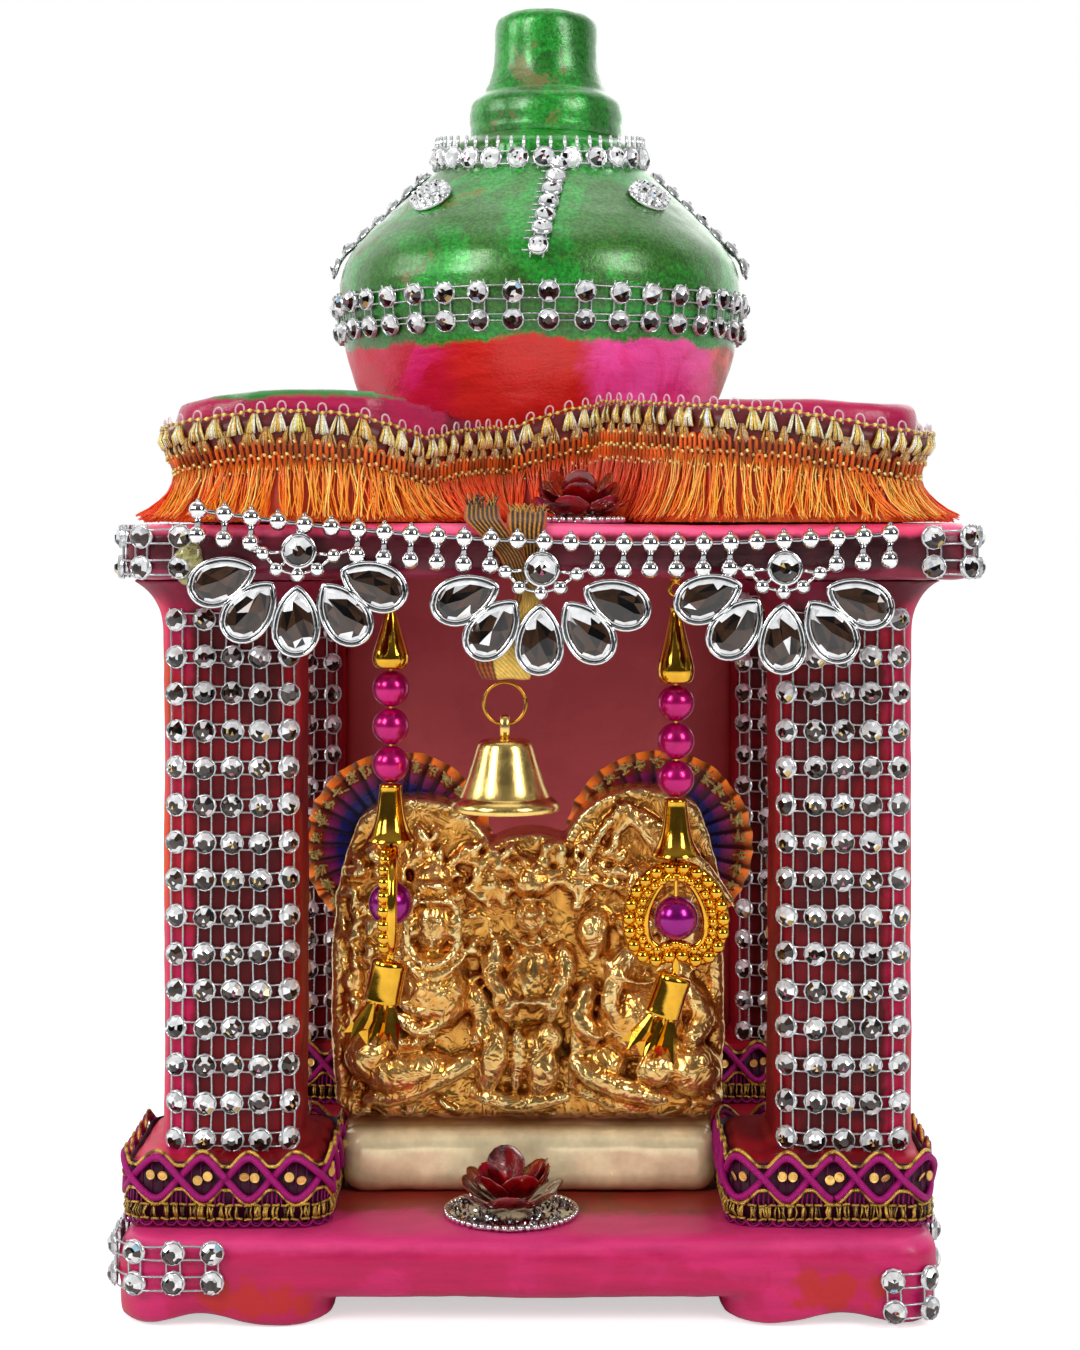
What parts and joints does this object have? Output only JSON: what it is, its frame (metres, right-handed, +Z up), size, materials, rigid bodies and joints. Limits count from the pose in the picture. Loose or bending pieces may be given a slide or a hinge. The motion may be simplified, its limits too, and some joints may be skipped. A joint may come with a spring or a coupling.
{
  "type": "household shrine (pooja mandir)",
  "caption": "Small four-post clay household shrine with a pot dome, lobed canopy, bead and stone trim, a swinging bell and bead hangings.",
  "frame": {"origin": "On the surface the shrine stands on, under the middle of its whole box; the bell in front is part of that box.", "axes": "+Z up to the finial, +X to the right when facing the shrine, and -Y out of its open front."},
  "size_m": [0.1886, 0.1956, 0.3],
  "materials": {
    "clay_magenta": "painted satin",
    "clay_pink": "painted satin",
    "clay_red": "painted satin",
    "clay_mauve": "painted matte",
    "clay_green": "pearl paint",
    "rhinestone_mesh": "silver mesh with clear stones",
    "silver_trim": "mirror silver plastic",
    "lace": "silky gimp lace",
    "fringe": "silky thread with gold foil",
    "ribbon": "woven gold ribbon",
    "halo_cloth": "pleated brocade",
    "gold_cast": "gold paint on a resin cast",
    "gold_bead": "gold plated plastic",
    "magenta_pearl": "pearl lacquer",
    "flower": "dark red acrylic on silver",
    "bell_brass": "brushed",
    "steel_wire": "bright wire"
  },
  "bodies": {
    "root": {"base_slab": "clay_magenta", "base_feet": "clay_magenta", "post_front_left": "clay_red", "post_front_right": "clay_red", "post_back_left": "clay_red", "post_back_right": "clay_red", "back_wall": "clay_mauve", "cornice_slab": "clay_pink", "canopy": "clay_red", "dome_pot": "clay_red", "dome_finial": "clay_green", "dome_band": "rhinestone_mesh", "neck_band": "rhinestone_mesh", "dome_strips": "rhinestone_mesh", "dome_medallions": "rhinestone_mesh", "canopy_fringe": "fringe", "bead_trim": "silver_trim", "fan_left": "silver_trim", "fan_middle": "silver_trim", "fan_right": "silver_trim", "cornice_mesh": "rhinestone_mesh", "base_mesh": "rhinestone_mesh", "post_mesh_front_left": "rhinestone_mesh", "post_mesh_front_right": "rhinestone_mesh", "post_mesh_back_left": "rhinestone_mesh", "post_mesh_back_right": "rhinestone_mesh", "lace_front_left": "lace", "lace_front_right": "lace", "lace_back_left": "lace", "lace_back_right": "lace", "figure_group": "gold_cast", "halos": "halo_cloth", "roof_flower": "flower", "floor_flower": "flower", "ribbon": "ribbon", "hanging_eyes": "steel_wire"},
    "bell_ring": {"bell_ring": "steel_wire"},
    "bell": {"bell": "bell_brass", "bell_clapper": "bell_brass"},
    "string_left": {"string_left": "magenta_pearl"},
    "pendant_left": {"heart_left": "gold_bead", "heart_pearl_left": "magenta_pearl", "tassel_left": "gold_bead"},
    "string_right": {"string_right": "magenta_pearl"},
    "pendant_right": {"heart_right": "gold_bead", "heart_pearl_right": "magenta_pearl", "tassel_right": "gold_bead"}
  },
  "joints": [
    {"name": "bell_swing", "type": "hinge", "parent": "root", "child": "bell_ring", "pos_m": [-0.0089, -0.0861, 0.1387], "axis": [1, 0, 0], "range_deg": [-30, 25]},
    {"name": "bell_sway", "type": "hinge", "parent": "bell_ring", "child": "bell", "pos_m": [-0.0089, -0.0861, 0.1342], "axis": [0, 1, 0], "range_deg": [-12, 12]},
    {"name": "left_swing", "type": "hinge", "parent": "root", "child": "string_left", "pos_m": [-0.0339, -0.0754, 0.1569], "axis": [1, 0, 0], "range_deg": [-15, 10]},
    {"name": "left_twist", "type": "hinge", "parent": "string_left", "child": "pendant_left", "pos_m": [-0.0339, -0.0754, 0.1], "axis": [0, 0, 1], "range_deg": [-90, 90]},
    {"name": "right_swing", "type": "hinge", "parent": "root", "child": "string_right", "pos_m": [0.0282, -0.0754, 0.1569], "axis": [1, 0, 0], "range_deg": [-15, 10]},
    {"name": "right_twist", "type": "hinge", "parent": "string_right", "child": "pendant_right", "pos_m": [0.0282, -0.0754, 0.1], "axis": [0, 0, 1], "range_deg": [-90, 90]}
  ]
}
